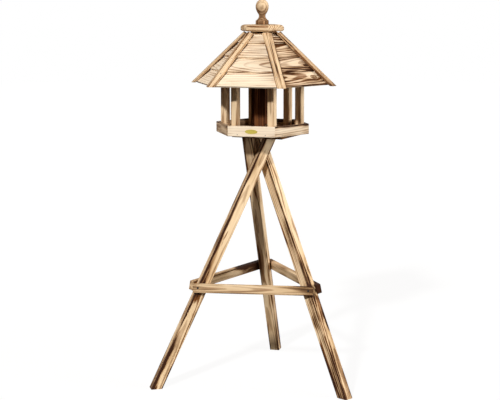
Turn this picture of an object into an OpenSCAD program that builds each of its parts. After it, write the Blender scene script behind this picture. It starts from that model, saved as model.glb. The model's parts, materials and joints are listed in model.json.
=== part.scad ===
// Bird feeder: a six-sided feeding house on a twisted three-legged stand.
// The front of the house looks along -Y. Directions are given in degrees from the front,
// growing towards +X, and heights are above the ground.

/* [Stand] */
// Height of the leg tops above the ground
stand_h = 812; // [600:1:1000]
// Side of a leg's square section
leg_w = 33; // [30:0.5:38]
// Distance of each foot's centre from the stand's axis
foot_r = 356.5; // [280:0.5:450]
// Distance of each leg top's centre from the stand's axis
leg_top_r = 41.5; // [38:0.5:55]
// Turn of a leg's top from its foot, about the stand's axis
leg_twist = 136; // [126:0.5:142]
// Direction of the left foot
foot_turn = -54.8; // [-70:0.1:-40]
// Length of the dowel that pins two legs where they cross
cross_dowel_l = 36; // [20:1:44]
// Diameter of that dowel
cross_dowel_d = 6; // [4:0.5:10]

/* [Braces] */
// How far a brace runs past the outermost leg corner that it crosses
brace_over = 11.2; // [3:0.1:40]
// Height of a brace's face
brace_h = 30.5; // [20:0.5:50]
// Thickness of a brace
brace_t = 16; // [12:0.5:24]
// Height of the braces' middle above the ground
brace_z = 329; // [150:1:480]
// Depth of a brace's seats in the legs' outer corners
brace_seat = 3; // [2:0.5:8]
// Lean of the braces' tops towards the axis
brace_lean = 13; // [0:1:20]
// Shift of the front brace to the left
brace_shift = 3.2; // [0:0.1:6]
// How much higher the two side braces sit than the front one
side_brace_lift = 7; // [0:0.5:12]
// Tilt of the side braces, which rise towards the back leg
side_brace_tilt = 1.4; // [0:0.1:2.5]
// Distance of the front brace's screws from its ends
brace_screw_in = 16; // [10:1:20]
// Distance of the side braces' screws from their ends
side_screw_in = 22; // [16:0.5:30]
// How far the side braces' screws stand above or below their middle, clear of the others in a leg
side_screw_off = 6; // [5:0.5:7]

/* [Mounting plate] */
// Width of the plate on the leg tops
plate_w = 176; // [166:1:180]
// Depth of the plate
plate_d = 160; // [152:1:162]
// Thickness of the plate
plate_t = 10; // [8:0.5:18]
// Distance of the plate's screws from its edges
plate_screw_in = 18; // [12:1:22]
// Turn of the plate under the house
plate_turn = -10; // [-12:1:0]
// Shift of the plate to the right of the house's middle
plate_off_x = 17.6; // [10:0.2:18]
// Shift of the plate to the front of the house's middle
plate_off_y = 2.9; // [0:0.1:6]
// How far the house stands off the stand's axis, along X
house_off_x = 11.3; // [-20:0.1:20]
// How far the house stands off the stand's axis, along Y
house_off_y = 3; // [-20:0.1:20]

/* [Tray] */
// Distance from the centre to the tray's outer corners
tray_r = 155.4; // [152:0.2:190]
// Height of the tray boards
tray_h = 33; // [24:1:60]
// Thickness of the tray boards
tray_t = 11; // [8:0.5:12]
// Thickness of the floor
floor_t = 12; // [10:0.5:18]
// Distance of a tray board's nails from its ends
nail_in = 32; // [12:1:60]
// Width of the oval plaque on the front board
plaque_w = 41; // [20:1:80]
// Height of the oval plaque
plaque_h = 14; // [8:0.5:22]
// Thickness of the oval plaque
plaque_t = 1.2; // [0.6:0.1:3]

/* [Posts and silo] */
// Side of a post's square section
post_w = 22; // [16:0.5:24]
// Gap between the posts' outermost corners and the tray boards
post_gap = 4.5; // [0.2:0.1:12]
// How much further out the two side posts stand
post_side_out = 4.6; // [0:0.1:5]
// Turn of every post about its own axis
post_turn = -15; // [-45:1:45]
// Distance from the centre to the silo's outer corners
silo_r = 37; // [30:0.5:40]
// Thickness of a silo stave
silo_t = 9; // [6:0.5:10]
// Height of the feed outlets at the silo's foot
outlet_h = 18; // [10:1:40]

/* [Roof] */
// Slope of the roof's six faces
roof_pitch = 47; // [42:0.5:50]
// Distance from the centre to the corners of the eave boards
eave_r = 224; // [200:1:240]
// Height of the eave boards' outer top edge above the floor
eave_rise = 151.5; // [110:0.5:240]
// Number of lapped boards on each face
board_n = 4; // [3:1:4]
// Width of a board
board_w = 68; // [64:0.5:75]
// Gap between the topmost boards and the silo
silo_gap = 2; // [1:0.5:6]
// Thickness of a board
board_t = 7; // [5:0.5:10]
// Distance from one board's lower edge to the next
board_step = 59; // [50:0.5:60]
// Gap between a board and the one that it laps
lap_gap = 0.2; // [0.1:0.05:0.5]
// Width of a hip lath
lath_w = 14; // [12:0.5:26]
// Thickness of a hip lath
lath_t = 8; // [5:0.5:12]
// How far the laths' level ends reach below the eave corners
lath_drop = 4; // [0:0.5:8]
// How far those of the right hip reach below their corner
right_lath_drop = 8; // [0:0.5:10]
// Gap between the two laths of a hip
lath_mitre_gap = 0.2; // [0.1:0.1:0.8]
// Distance from the centre to the hip laths' upper ends
lath_top_r = 55; // [50:0.5:66]
// Width of a rafter
rafter_w = 18; // [12:1:24]
// Depth of a rafter, square to its length
rafter_h = 26; // [18:1:36]
// How far the rafters' lower ends stop short of the eave corners
rafter_in = 16; // [10:1:40]

/* [Cap and knob] */
// Gap between the hip laths' upper ends and the cap's underside
cap_gap = 1; // [1:0.1:12]
// Distance from the centre to the cap's corners
cap_r = 72; // [62:1:90]
// Thickness of the cap
cap_t = 21; // [14:0.5:30]
// Height of the cap's upright edge below its bevel
cap_edge = 11.5; // [8:0.5:13]
// How far the bevel draws the cap's corners in
cap_bevel = 14; // [6:0.5:24]
// How far the lower bevel draws the cap's corners in
cap_under = 8; // [2:0.5:10]
// Height of the cap's lower bevel
cap_under_h = 6; // [1:0.5:7]
// Gap between the cap and the silo's rim
cap_fit = 0.3; // [0.2:0.05:0.6]
// Depth of the plug under the cap
plug_t = 12; // [8:1:24]
// Gap between the plug and the silo's inner faces
plug_fit = 1; // [0.5:0.1:2]
// Radius of the knob's ring and of its ball
knob_r = 21; // [16:0.5:28]
// Radius of the knob's neck
knob_neck_r = 10.5; // [9:0.5:15]
// Height of the knob
knob_h = 80; // [66:1:100]
// Height of the knob's ring
knob_ring_h = 13; // [8:0.5:18]

/* [Fasteners] */
// Shank diameter of the wood screws
screw_d = 3.8; // [3:0.1:5]
// Head diameter of the wood screws
screw_head_d = 7; // [6:0.1:9]
// Head height of the wood screws
screw_head_h = 2.4; // [1.5:0.1:3.5]
// Depth of the recess that takes a screw's head
screw_sink = 4; // [3.5:0.1:6]
// Length of a screw inside the last piece that it holds
screw_bite = 26; // [12:1:28]
// Length of the screws that rise into the floor
floor_bite = 8; // [5:0.5:9]
// Shank diameter of the tray nails
nail_d = 2; // [1.4:0.1:3]
// Head diameter of the tray nails
nail_head_d = 4; // [3:0.1:6]
// Length of a tray nail inside the floor
nail_bite = 15; // [8:1:25]
// Length of a lath nail
lath_nail_l = 30; // [24:1:34]
// Number of nails in each hip lath
lath_nail_n = 3; // [2:1:3]
// Distance of a lath's lowest nail from the eave corner
lath_nail_low = 36; // [34:1:44]
// Distance from one lath nail to the next
lath_nail_step = 66; // [40:1:68]
// Clearance around shanks, heads and dowels, all round
fit = 0.15; // [0.1:0.05:0.3]

/* [Hidden] */
$fn = 48;
SIDES = ["front", "front_right", "back_right", "back", "back_left", "front_left"];
LEGS = ["left", "right", "back"];
BRACES = ["front", "right", "left"];
six = [0:5];
three = [0:2];
tau6 = 60;
tau3 = 120;
nail_head_h = 0.8;
tail_lift = 3;
nail_stagger = 12;
cut_over = 60;
reach = 2000;

// Stand: each leg is a straight bar from its foot point to its top point.
function at_dir(r, a, z) = [r * sin(a), -r * cos(a), z];
function foot_pt(k) = at_dir(foot_r, foot_turn + tau3 * k, 0);
function top_pt(k) = at_dir(leg_top_r, foot_turn + leg_twist + tau3 * k, stand_h);
function unit(v) = v / norm(v);
function leg_dir(k) = unit(top_pt(k) - foot_pt(k));
leg_lean = acos(leg_dir(0)[2]);
function leg_plan(k) = atan2(leg_dir(k)[1], leg_dir(k)[0]);

// Where leg k and leg k + 1 pass closest: a point between them, and the line across.
function cross_axis(k) = unit(cross(leg_dir(k), leg_dir(k + 1)));
function cross_side(k) = (foot_pt(k + 1) - foot_pt(k)) * cross_axis(k) > 0 ? 1 : -1;
function near_pt(k, m) =
    let (u = leg_dir(k), v = leg_dir(m), w = foot_pt(m) - foot_pt(k), c = u * v)
    foot_pt(k) + u * ((w * u) - c * (w * v)) / (1 - c * c);
function cross_pt(k) = (near_pt(k, k + 1) + near_pt(k + 1, k)) / 2;

// Feet: the corners of the three floor-level sections give the centre of the whole.
foot_half = [leg_w / cos(leg_lean) / 2, leg_w / 2];
foot_corners = [for (k = three, i = [-1, 1], j = [-1, 1])
    let (a = leg_plan(k), x = i * foot_half[0], y = j * foot_half[1])
    [foot_pt(k)[0] + x * cos(a) - y * sin(a), foot_pt(k)[1] + x * sin(a) + y * cos(a)]];
foot_x = [for (c = foot_corners) c[0]];
foot_y = [for (c = foot_corners) c[1]];
stand_at = [-(min(foot_x) + max(foot_x)) / 2, -(min(foot_y) + max(foot_y)) / 2, 0];
house_at = stand_at + [house_off_x, house_off_y, 0];

// Braces: each runs along the two leg corners that stand out furthest on its side.
brace_side = at_dir(1, foot_turn + tau3 / 2, 0);
function section_at(k, z) = [for (i = [-1, 1], j = [-1, 1])
    let (a = leg_plan(k), x = i * foot_half[0], y = j * foot_half[1])
    foot_pt(k) + leg_dir(k) * z / leg_dir(k)[2] + [x * cos(a) - y * sin(a), x * sin(a) + y * cos(a), 0]];
function furthest(points, n) = [for (p = points) if (p * n == max([for (q = points) q * n])) p][0];
corner_a = furthest(section_at(0, brace_z), brace_side);
corner_b = furthest(section_at(1, brace_z), brace_side);
brace_dir = unit(corner_b - corner_a);
brace_turn = atan2(brace_dir[1], brace_dir[0]);
brace_mid_r = corner_a * at_dir(1, brace_turn, 0) - brace_seat + brace_t / 2;
brace_l = 2 * (max(abs(corner_a * brace_dir), abs(corner_b * brace_dir)) + brace_over);
function brace_screw_x(k) = brace_l / 2 - (k == 0 ? brace_screw_in : side_screw_in);
function brace_screw_z(k, s) = k == 0 ? 0 : (k == 2 && s < 0 ? -side_screw_off : side_screw_off);
function brace_move(k) = k == 0 ? [-brace_shift, 0, 0] : [0, 0, side_brace_lift];
function brace_tilt(k) = [0, -side_brace_tilt, side_brace_tilt][k];

// Heights of the house, from the ground up
tray_z = stand_h + plate_t;
floor_top = tray_z + floor_t;
eave_z = floor_top + eave_rise;
tray_a = tray_r * cos(30);
post_r = (tray_a - tray_t - post_gap - post_w / sqrt(2)) / cos(30);
silo_a = silo_r * cos(30);
plug_a = silo_a - silo_t - plug_fit;

// Roof: boards tilt so that each lies flat on the one below it.
eave_a = eave_r * cos(30);
board_tilt = asin((board_t + lap_gap) / board_step);
hip_slope = atan(tan(roof_pitch) * cos(30));
hip_fan = atan(cos(roof_pitch) * tan(30));
lath_rise = (eave_r - lath_top_r) / cos(hip_slope);
board_slope = roof_pitch - board_tilt;
board_run = board_step * (board_n - 1) * cos(roof_pitch);
top_board_w = (eave_a - board_run - silo_a - silo_gap - board_t * sin(board_slope)) / cos(board_slope);
under_gap = board_w * sin(board_tilt);
tail_z = eave_z - board_t * cos(board_slope) + tail_lift;
cap_z = eave_z + lath_rise * sin(hip_slope) + lath_t * cos(roof_pitch) + cap_gap;
cap_top = cap_z + cap_t;
rafter_r = eave_r - rafter_in;
function butt_hip_z(r) = eave_z + (eave_r - r) * tan(hip_slope);
function rafter_low_z(r) = butt_hip_z(r) - under_gap / cos(roof_pitch) - rafter_h / cos(hip_slope);
tail_r = eave_r - (tail_z - rafter_low_z(eave_r)) / tan(hip_slope);

// Frames of reference
module at_stand() translate(stand_at) children();
module at_house() translate(house_at) children();
module at_leg(k) translate(foot_pt(k)) rotate([0, leg_lean, leg_plan(k)]) children();
module at_brace(k)
    translate(at_dir(brace_mid_r, brace_turn + tau3 * k, brace_z))
    rotate([0, 0, brace_turn + tau3 * k]) rotate([-brace_lean, 0, 0])
        translate(brace_move(k)) rotate([0, brace_tilt(k), 0]) children();
module at_side(k) rotate([0, 0, tau6 * k]) children();
module at_hip(k) rotate([0, 0, tau6 * k + tau6 / 2]) children();
module at_post(k)
    translate(at_dir(post_r + (k % 3 == 1 ? post_side_out : 0), tau6 * k + tau6 / 2, 0))
        rotate([0, 0, post_turn]) children();
module on_plate() translate([plate_off_x, -plate_off_y, 0]) rotate([0, 0, plate_turn]) children();
// On a roof face: x runs along the eave, y up the slope and z out of the roof.
module at_roof(k) at_side(k) translate([0, -eave_a, eave_z]) rotate([roof_pitch, 0, 0]) children();
module at_crossing(k) {
    x = leg_dir(k);
    z = cross_axis(k) * cross_side(k);
    y = cross(z, x);
    p = cross_pt(k);
    multmatrix([[x[0], y[0], z[0], p[0]], [x[1], y[1], z[1], p[1]], [x[2], y[2], z[2], p[2]]])
        children();
}

// Shared shapes
// One side's sixth of the house, with its borders moved in by gap.
module sector(k, gap = 0)
    at_side(k) translate([0, -gap / sin(30), 0]) linear_extrude(reach)
        polygon([[0, 0], [-reach * tan(30), -reach], [reach * tan(30), -reach]]);
// A board along one side of a hexagon, mitred at both ends; a is its outer face's distance.
module mitred_side(k, a, t, h)
    at_side(k) linear_extrude(h)
        polygon([
            [-a * tan(30), -a], [a * tan(30), -a],
            [(a - t) * tan(30), t - a], [(t - a) * tan(30), t - a]
        ]);
module hexagon(r, h) cylinder(r = r, h = h, $fn = 6);
// A screw's head sits on z = 0 and its shank points down.
module screw(l) {
    cylinder(d = screw_head_d, h = screw_head_h);
    translate([0, 0, -l]) cylinder(d = screw_d, h = l);
}
module screw_hole(l) {
    cylinder(d = screw_head_d + 2 * fit, h = screw_sink + cut_over);
    translate([0, 0, -l - fit]) cylinder(d = screw_d + 2 * fit, h = l + 2 * fit);
}

// Stand
module brace_bar(k)
    at_brace(k) translate([-brace_l, -brace_t, -brace_h] / 2) cube([brace_l, brace_t, brace_h]);
brace_screw_l = brace_t - screw_sink + screw_bite;
module brace_screw_places(k)
    for (s = [-1, 1])
        at_brace(k)
            translate([s * brace_screw_x(k), screw_sink - brace_t / 2, brace_screw_z(k, s)])
                rotate([90, 0, 0]) children();
module cross_dowel_shape(k, gap)
    at_crossing(k) translate([0, 0, -cross_dowel_l / 2 - gap])
        cylinder(d = cross_dowel_d + 2 * gap, h = cross_dowel_l + 2 * gap);
// Seat between two crossing legs: cuts the side of the crossing that is not the leg's own.
module cross_seat(k, side)
    at_crossing(k) translate([-leg_w, -leg_w, side > 0 ? 0 : -leg_w]) cube([2 * leg_w, 2 * leg_w, leg_w]);
leg_screw_l = plate_t - screw_sink + screw_bite;
module leg_screw_places()
    for (k = three) translate(top_pt(k) + [0, 0, plate_t - screw_sink]) children();

module leg(k) color("burlywood") at_stand() difference() {
    at_leg(k) translate([-leg_w / 2, -leg_w / 2, -cut_over])
        cube([leg_w, leg_w, stand_h / cos(leg_lean) + 2 * cut_over]);
    translate([-reach / 2, -reach / 2, -reach]) cube(reach);
    translate([-reach / 2, -reach / 2, stand_h]) cube(reach);
    for (m = [k, (k + 2) % 3]) {
        brace_bar(m);
        brace_screw_places(m) screw_hole(brace_screw_l);
        cross_dowel_shape(m, fit);
    }
    cross_seat(k, 1);
    cross_seat((k + 2) % 3, -1);
    leg_screw_places() screw_hole(leg_screw_l);
}
module brace(k) color("tan") at_stand() difference() {
    brace_bar(k);
    brace_screw_places(k) screw_hole(brace_screw_l);
}
module brace_screws() color("dimgray") at_stand() for (k = three) brace_screw_places(k) screw(brace_screw_l);
module cross_dowels() color("wheat") at_stand() for (k = three) cross_dowel_shape(k, 0);

// Mounting plate between the leg tops and the floor
plate_screw_l = plate_t - screw_sink + floor_bite;
plate_screw_x = plate_w / 2 - plate_screw_in;
plate_screw_y = plate_d / 2 - plate_screw_in;
module plate_screw_places()
    for (i = [-1, 1], j = [-1, 1])
        on_plate() translate([i * plate_screw_x, j * plate_screw_y, stand_h + screw_sink])
            rotate([180, 0, 0]) children();
module mounting_plate() color("saddlebrown") difference() {
    at_house() on_plate() translate([-plate_w / 2, -plate_d / 2, stand_h])
        cube([plate_w, plate_d, plate_t]);
    at_house() plate_screw_places() screw_hole(plate_screw_l);
    at_stand() leg_screw_places() screw_hole(leg_screw_l);
}
module leg_screws() color("dimgray") at_stand() leg_screw_places() screw(leg_screw_l);
module plate_screws() color("dimgray") at_house() plate_screw_places() screw(plate_screw_l);

// Tray
post_screw_l = floor_t - screw_sink + screw_bite;
nail_l = tray_t - nail_head_h + nail_bite;
module post_screw_places()
    for (k = six) translate([0, 0, tray_z + screw_sink]) at_post(k) rotate([180, 0, 0]) children();
module nail_places(k)
    for (s = [-1, 1])
        at_side(k) translate([s * (tray_r / 2 - nail_in), nail_head_h - tray_a, tray_z + floor_t / 2])
            rotate([90, 0, 0]) children();
module nail(l, gap) {
    cylinder(d = nail_head_d + 2 * gap, h = nail_head_h);
    translate([0, 0, -l - gap]) cylinder(d = nail_d + 2 * gap, h = l + gap);
}
module floor_board() color("peru") at_house() difference() {
    translate([0, 0, tray_z]) hexagon((tray_a - tray_t) / cos(30), floor_t);
    plate_screw_places() screw_hole(plate_screw_l);
    post_screw_places() screw_hole(post_screw_l);
    for (k = six) nail_places(k) nail(nail_l, fit);
}
module tray_board(k) color("burlywood") at_house() difference() {
    translate([0, 0, tray_z]) mitred_side(k, tray_a, tray_t, tray_h);
    nail_places(k) nail(nail_l, fit);
}
module tray_nails() color("silver") at_house() for (k = six) nail_places(k) nail(nail_l, 0);
module plaque() color("khaki") at_house()
    translate([0, -tray_a, tray_z + tray_h / 2]) rotate([90, 0, 0]) linear_extrude(plaque_t)
        polygon([for (a = [0:10:350]) [plaque_w / 2 * cos(a), plaque_h / 2 * sin(a)]]);

// Posts: square, all turned alike, cut at the top to the slope of the rafter above
module above_rafter(k)
    at_hip(k) rotate([90, 0, -90]) translate([0, 0, -cut_over]) linear_extrude(2 * cut_over)
        polygon([[0, rafter_low_z(0)], [eave_r, rafter_low_z(eave_r)], [eave_r, cap_top], [0, cap_top]]);
module post(k) color("peru") at_house() difference() {
    translate([0, 0, floor_top]) at_post(k) translate([-post_w / 2, -post_w / 2, 0])
        cube([post_w, post_w, cap_z - floor_top]);
    above_rafter(k);
    post_screw_places() screw_hole(post_screw_l);
}
module post_screws() color("dimgray") at_house() post_screw_places() screw(post_screw_l);

// Silo: six staves; every other one stops short of the floor and leaves a feed outlet.
module silo_stave(k) color("sienna") at_house()
    translate([0, 0, floor_top + (k % 2) * outlet_h])
        mitred_side(k, silo_a, silo_t, cap_z - cap_fit - floor_top - (k % 2) * outlet_h);

// Roof
// Over is the extra thickness on a board's outer face, for cutting the rafters' seats.
module roof_board(k, i, over = 0) {
    w = i == board_n - 1 ? top_board_w : board_w;
    intersection() {
        at_roof(k) translate([0, board_step * i, 0]) rotate([-board_tilt, 0, 0])
            translate([-eave_r, 0, -board_t]) cube([2 * eave_r, w, board_t + over]);
        sector(k);
    }
}
module roof_boards(k) color("moccasin") at_house() difference() {
    for (i = [0:board_n - 1]) roof_board(k, i);
    for (side = [-1, 1]) lath_nail_places(k, side) nail(lath_nail_l, fit);
}
module under_roof(k) at_roof(k) translate([-reach / 2, -reach / 2, -under_gap - reach]) cube(reach);
module rafter(k) color("peru") at_house() difference() {
    intersection() {
        at_hip(k) rotate([90, 0, -90]) translate([0, 0, -rafter_w / 2]) linear_extrude(rafter_w)
            polygon([
                [0, rafter_low_z(0)], [tail_r, tail_z], [rafter_r, tail_z],
                [rafter_r, cap_z], [0, cap_z + eave_r]
            ]);
        under_roof(k);
        under_roof(k + 1);
    }
    hexagon(silo_r, reach);
    for (m = [k, k + 1], i = [0:board_n - 1]) roof_board(m, i, 2 * lap_gap);
    for (side = [0, 1]) lath_nail_places(k + side, 1 - 2 * side) nail(lath_nail_l, fit);
}
// A hip seen from the face k; side is 1 for the face's right-hand hip, and y runs up the hip.
module along_hip(k, side)
    at_roof(k) translate([side * eave_a * tan(30), 0, 0]) rotate([0, 0, side * hip_fan]) children();
module lath_nail_places(k, side)
    for (i = [0:lath_nail_n - 1]) let (y = lath_nail_low + i * lath_nail_step + (1 - side) / 2 * nail_stagger)
        along_hip(k, side) translate([-side * lath_w / 2, y, lath_t - nail_head_h]) children();
function lath_end_drop(k, side) = k == (side > 0 ? 1 : 2) ? right_lath_drop : lath_drop;
module hip_lath(k, side)
    difference() {
        intersection() {
            along_hip(k, side)
                translate([side > 0 ? -lath_w : -cut_over, -cut_over, 0])
                    cube([lath_w + cut_over, lath_rise + cut_over, lath_t]);
            sector(k, lath_mitre_gap / 2);
        }
        translate([-reach / 2, -reach / 2, eave_z - lath_end_drop(k, side) - reach]) cube(reach);
        lath_nail_places(k, side) nail(lath_nail_l, fit);
    }
module hip_laths(k) color("chocolate") at_house() {
    hip_lath(k, 1);
    hip_lath(k + 1, -1);
}
module lath_nails() color("silver") at_house()
    for (k = six, side = [-1, 1]) lath_nail_places(k, side) nail(lath_nail_l, 0);

// Cap, its plug and its knob, which lift off together to fill the silo
knob_screw_l = plug_t - screw_sink + cap_t + screw_bite;
module knob_screw_place() translate([0, 0, cap_z - plug_t + screw_sink]) rotate([180, 0, 0]) children();
module bevel_cut(slope)
    rotate([slope, 0, 0]) translate([-cap_r, -cap_r, 0]) cube([2 * cap_r, 2 * cap_r, cap_r]);
module roof_cap() color("burlywood") at_house() difference() {
    translate([0, 0, cap_z]) hexagon(cap_r, cap_t);
    for (k = six) at_side(k) {
        translate([0, -cap_r * cos(30), cap_z + cap_edge])
            bevel_cut(atan((cap_t - cap_edge) / (cap_bevel * cos(30))));
        translate([0, -cap_r * cos(30), cap_z + cap_under_h])
            mirror([0, 0, 1]) bevel_cut(atan(cap_under_h / (cap_under * cos(30))));
    }
    knob_screw_place() screw_hole(knob_screw_l);
}
module cap_plug() color("peru") at_house() difference() {
    translate([0, 0, cap_z - plug_t]) hexagon(plug_a / cos(30), plug_t);
    knob_screw_place() screw_hole(knob_screw_l);
}
ring_round = 2.5;
ball_h = (knob_h - knob_ring_h) * 0.366;
ball_z = knob_h - ball_h;
neck_turn = acos(knob_neck_r / knob_r);
module knob() color("tan") at_house() difference() {
    translate([0, 0, cap_top]) rotate_extrude() polygon(concat(
        [[0, 0], [knob_r - ring_round, 0]],
        [[knob_r, ring_round], [knob_r, knob_ring_h - ring_round]],
        [[knob_r - ring_round, knob_ring_h], [knob_neck_r + ring_round, knob_ring_h + ring_round]],
        [[knob_neck_r, knob_ring_h + 3 * ring_round]],
        [for (i = [0:12]) let (a = -neck_turn + (90 + neck_turn) * i / 12)
            [i == 12 ? 0 : knob_r * cos(a), ball_z + ball_h * sin(a)]]));
    knob_screw_place() screw_hole(knob_screw_l);
}
module knob_screw() color("dimgray") at_house() knob_screw_place() screw(knob_screw_l);

for (k = three) leg(k);
for (k = three) brace(k);
brace_screws();
cross_dowels();
mounting_plate();
leg_screws();
plate_screws();
floor_board();  // floor
for (k = six) tray_board(k);
tray_nails();
plaque();
for (k = six) post(k);
post_screws();
for (k = six) silo_stave(k);
for (k = six) rafter(k);
for (k = six) roof_boards(k);
for (k = six) hip_laths(k);
lath_nails();
roof_cap();
cap_plug();
knob();
knob_screw();
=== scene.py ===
"""Bird feeder on a twisted three-legged stand.

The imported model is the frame. Each wooden piece is a copy of its own solid with worn edges
and a grain of its own; the screws, nails, plaque, cap and knob are modelled here.
"""

import json
import math
import random

import bmesh
import bpy
from bpy.props import FloatProperty, FloatVectorProperty, IntProperty, PointerProperty
from mathutils import Color, Matrix, Vector


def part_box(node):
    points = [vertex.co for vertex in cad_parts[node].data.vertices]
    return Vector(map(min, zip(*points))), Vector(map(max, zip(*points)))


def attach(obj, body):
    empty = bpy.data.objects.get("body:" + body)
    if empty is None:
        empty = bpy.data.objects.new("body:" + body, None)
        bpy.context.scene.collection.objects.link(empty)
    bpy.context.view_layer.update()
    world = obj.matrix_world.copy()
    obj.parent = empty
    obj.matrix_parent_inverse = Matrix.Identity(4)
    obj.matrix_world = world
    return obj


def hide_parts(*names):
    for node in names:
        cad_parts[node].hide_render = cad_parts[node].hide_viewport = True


bl_info = {
    "name": "Bird feeder",
    "version": (1, 0, 0),
    "blender": (4, 5, 0),
    "location": "3D View > Sidebar > Bird feeder",
    "description": "Dresses the packed bird feeder with worn, flamed softwood and its fittings",
    "category": "Object",
}

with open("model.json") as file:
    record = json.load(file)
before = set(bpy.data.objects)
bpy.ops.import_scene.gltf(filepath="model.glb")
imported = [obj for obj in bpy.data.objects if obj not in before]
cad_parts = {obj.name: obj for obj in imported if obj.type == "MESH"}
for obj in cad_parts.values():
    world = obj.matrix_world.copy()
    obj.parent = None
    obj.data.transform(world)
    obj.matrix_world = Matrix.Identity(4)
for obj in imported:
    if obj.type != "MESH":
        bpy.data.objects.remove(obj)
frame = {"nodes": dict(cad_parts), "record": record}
BODY_OF = {n: b for b, group in frame["record"]["behaviour"]["bodies"].items() for n in group}
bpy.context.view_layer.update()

SIDES = ("front", "front_right", "back_right", "back", "back_left", "front_left")
SIXTH = math.radians(60)
# The numbers of the posts, the rafters and the hips
CORNERS = range(1, 7)

# Grain attributes on every wooden piece, in metres:
# place: distance from the piece's middle along the grain, across it and through it
# half: half of the piece's size in those three directions
# pith: where the tree's middle lies (across, through) and how fast it drifts along the grain
# tone: lighter or darker, scorch, which on some pieces also holds painted shade, and a number that sets
# its noise apart
# knot: place of a knot (along, across) and its radius
# streak: place of a dark streak along the grain (across, through) and its strength; burnt, and at the
# roof's laps and the hip laths also painted shadow
# ends: how dark the piece's two ends are, and how far that reaches; burnt, and on the posts' tops and
# the silo also painted shade and light
GRAIN_ATTRIBUTES = ("place", "half", "pith", "tone", "knot", "streak", "ends")

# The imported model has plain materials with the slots' own names.
FINISH = "_finish"

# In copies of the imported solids, points this near are one point and faces this flat are one face.
SAME_POINT = 2e-6
FLAT = math.radians(0.4)
# The same for shapes that are spun or cut here
SAME_MADE_POINT = 1e-6
# Edges that are sharper and longer than this get worn.
SHARP = math.radians(25)
LONG_EDGE = 0.009
# Heights this near are one height.
SAME_HEIGHT = 1e-5
# A face is a side, not an end, when its normal leans less than this along the grain.
SIDE_LEAN = 0.5

UP = Vector((0, 0, 1))
RIGHT = Vector((1, 0, 0))
# Where the tree's middle lies: aside of straight-grained pieces, under those with arches, and how
# it drifts along them. The arches' place aside is a part of the half width.
STRAIGHT_ASIDE = (0.04, 0.09)
STRAIGHT_DEEP = (-0.03, 0.03)
STRAIGHT_DRIFT = (-0.01, 0.01)
ARCHED_ASIDE = (-0.5, 0.5)
ARCHED_DEEP = (0.010, 0.045)
ARCHED_DRIFT = (0.02, 0.07)
OWN_SCORCH = (-0.12, 0.12)
OWN_LIGHT = (-1, 1)
OWN_NOISE = (0, 40)
USUAL_ENDS = (0.15, 0.15, 0.03)


# Sizes and colours

def shade(name, description, rgb):
    return FloatVectorProperty(
        name=name, description=description, default=[c / 255 for c in rgb],
        size=3, min=0, max=1, subtype="COLOR_GAMMA")


def length(name, description, default, low, high):
    return FloatProperty(
        name=name, description=description, default=default, min=low, max=high,
        subtype="DISTANCE", unit="LENGTH", precision=5)


def number(name, description, default, low, high):
    return FloatProperty(name=name, description=description, default=default, min=low, max=high)


class FeederShape(bpy.types.PropertyGroup):
    """Sizes of the worn edges and the turned and pressed pieces"""
    leg_edge: length("Leg edges", "Radius of the worn edges of legs", 0.0016, 0.0002, 0.003)
    bar_edge: length("Bar edges", "Radius of the edges of posts and braces", 0.0011, 0.0002, 0.003)
    board_edge: length("Board edges", "Radius of the edges of boards and laths", 0.0008, 0.0002, 0.002)
    cap_round: length("Cap rounding", "Width of the rounding on top of the cap", 0.0135, 0.004, 0.018)
    cap_under: length("Cap underside", "Width of the rounding under the cap", 0.008, 0.001, 0.010)
    knob_steps: IntProperty(
        name="Knob steps", description="Faces around the turned knob", default=72, min=24, max=128)
    recess_w: length("Recess width", "Width of a screw's cross recess", 0.0011, 0.0004, 0.002)
    recess_l: length("Recess length", "Length of a screw's cross recess", 0.0042, 0.002, 0.006)
    plaque_rim: length("Plaque rim", "Width of the plaque's raised rim", 0.0011, 0.0004, 0.003)


class FeederPalette(bpy.types.PropertyGroup):
    """Colours of the wood, from fresh to charred, and of the fittings"""
    cream: shade("Cream", "Fresh sapwood", (252, 234, 207))
    straw: shade("Straw", "Fresh wood of the legs and posts", (242, 215, 176))
    honey: shade("Honey", "Warm wood of the floor, the plug and the dowels", (224, 184, 140))
    olive: shade("Olive", "Lightly scorched boards and legs", (194, 152, 94))
    tan: shade("Tan", "Lightly scorched posts, laths and cap", (186, 138, 86))
    brown: shade("Brown", "Scorched late wood", (134, 84, 42))
    # The silo's colours are partly painted shade: it stands under the roof.
    plum: shade("Plum", "Scorched staves of the silo", (92, 62, 54))
    char: shade("Char", "Charred wood", (58, 33, 20))
    steel: shade("Steel", "Dull nails", (190, 178, 160))
    black_steel: shade("Black steel", "Blackened screws", (40, 38, 37))
    yellow: shade("Plaque", "Bare plaque", (200, 180, 76))


class FeederStudio(bpy.types.PropertyGroup):
    """Light, floor and camera"""
    key: number("Key light", "Strength of the key light", 2.85, 0, 10)
    key_turn: number(
        "Key turn", "Direction of the key light, in degrees from the front", -7, -180, 180)
    key_height: number("Key height", "Height of the key light above the horizon, in degrees", 33, 5, 90)
    key_soft: number("Key softness", "Apparent size of the key light, in degrees", 4, 0.5, 60)
    side: number("Side light", "Strength of the soft light from the right", 2.9, 0, 10)
    side_turn: number(
        "Side turn", "Direction of the side light, in degrees from the front", 88, -180, 180)
    side_height: number("Side height", "Height of the side light, in degrees", 7, 5, 90)
    side_soft: number("Side softness", "Apparent size of the side light, in degrees", 36, 0.5, 90)
    tint: shade("Tint", "Colour of the soft light from all round", (255, 222, 194))
    sky: number("Sky", "Strength of the soft light from above", 0.24, 0, 3)
    horizon: number("Horizon", "Strength of the soft light from the sides", 0.06, 0, 3)
    floor: number("Floor", "How much light the floor gives back", 0.10, 0, 1)
    glow: number("Floor glow", "How bright the floor looks to the camera", 0.93, 0, 1)
    lens: length("Lens", "Focal length of the camera on a 36 mm sensor", 0.09488, 0.02, 0.3)


# Meshes

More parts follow.
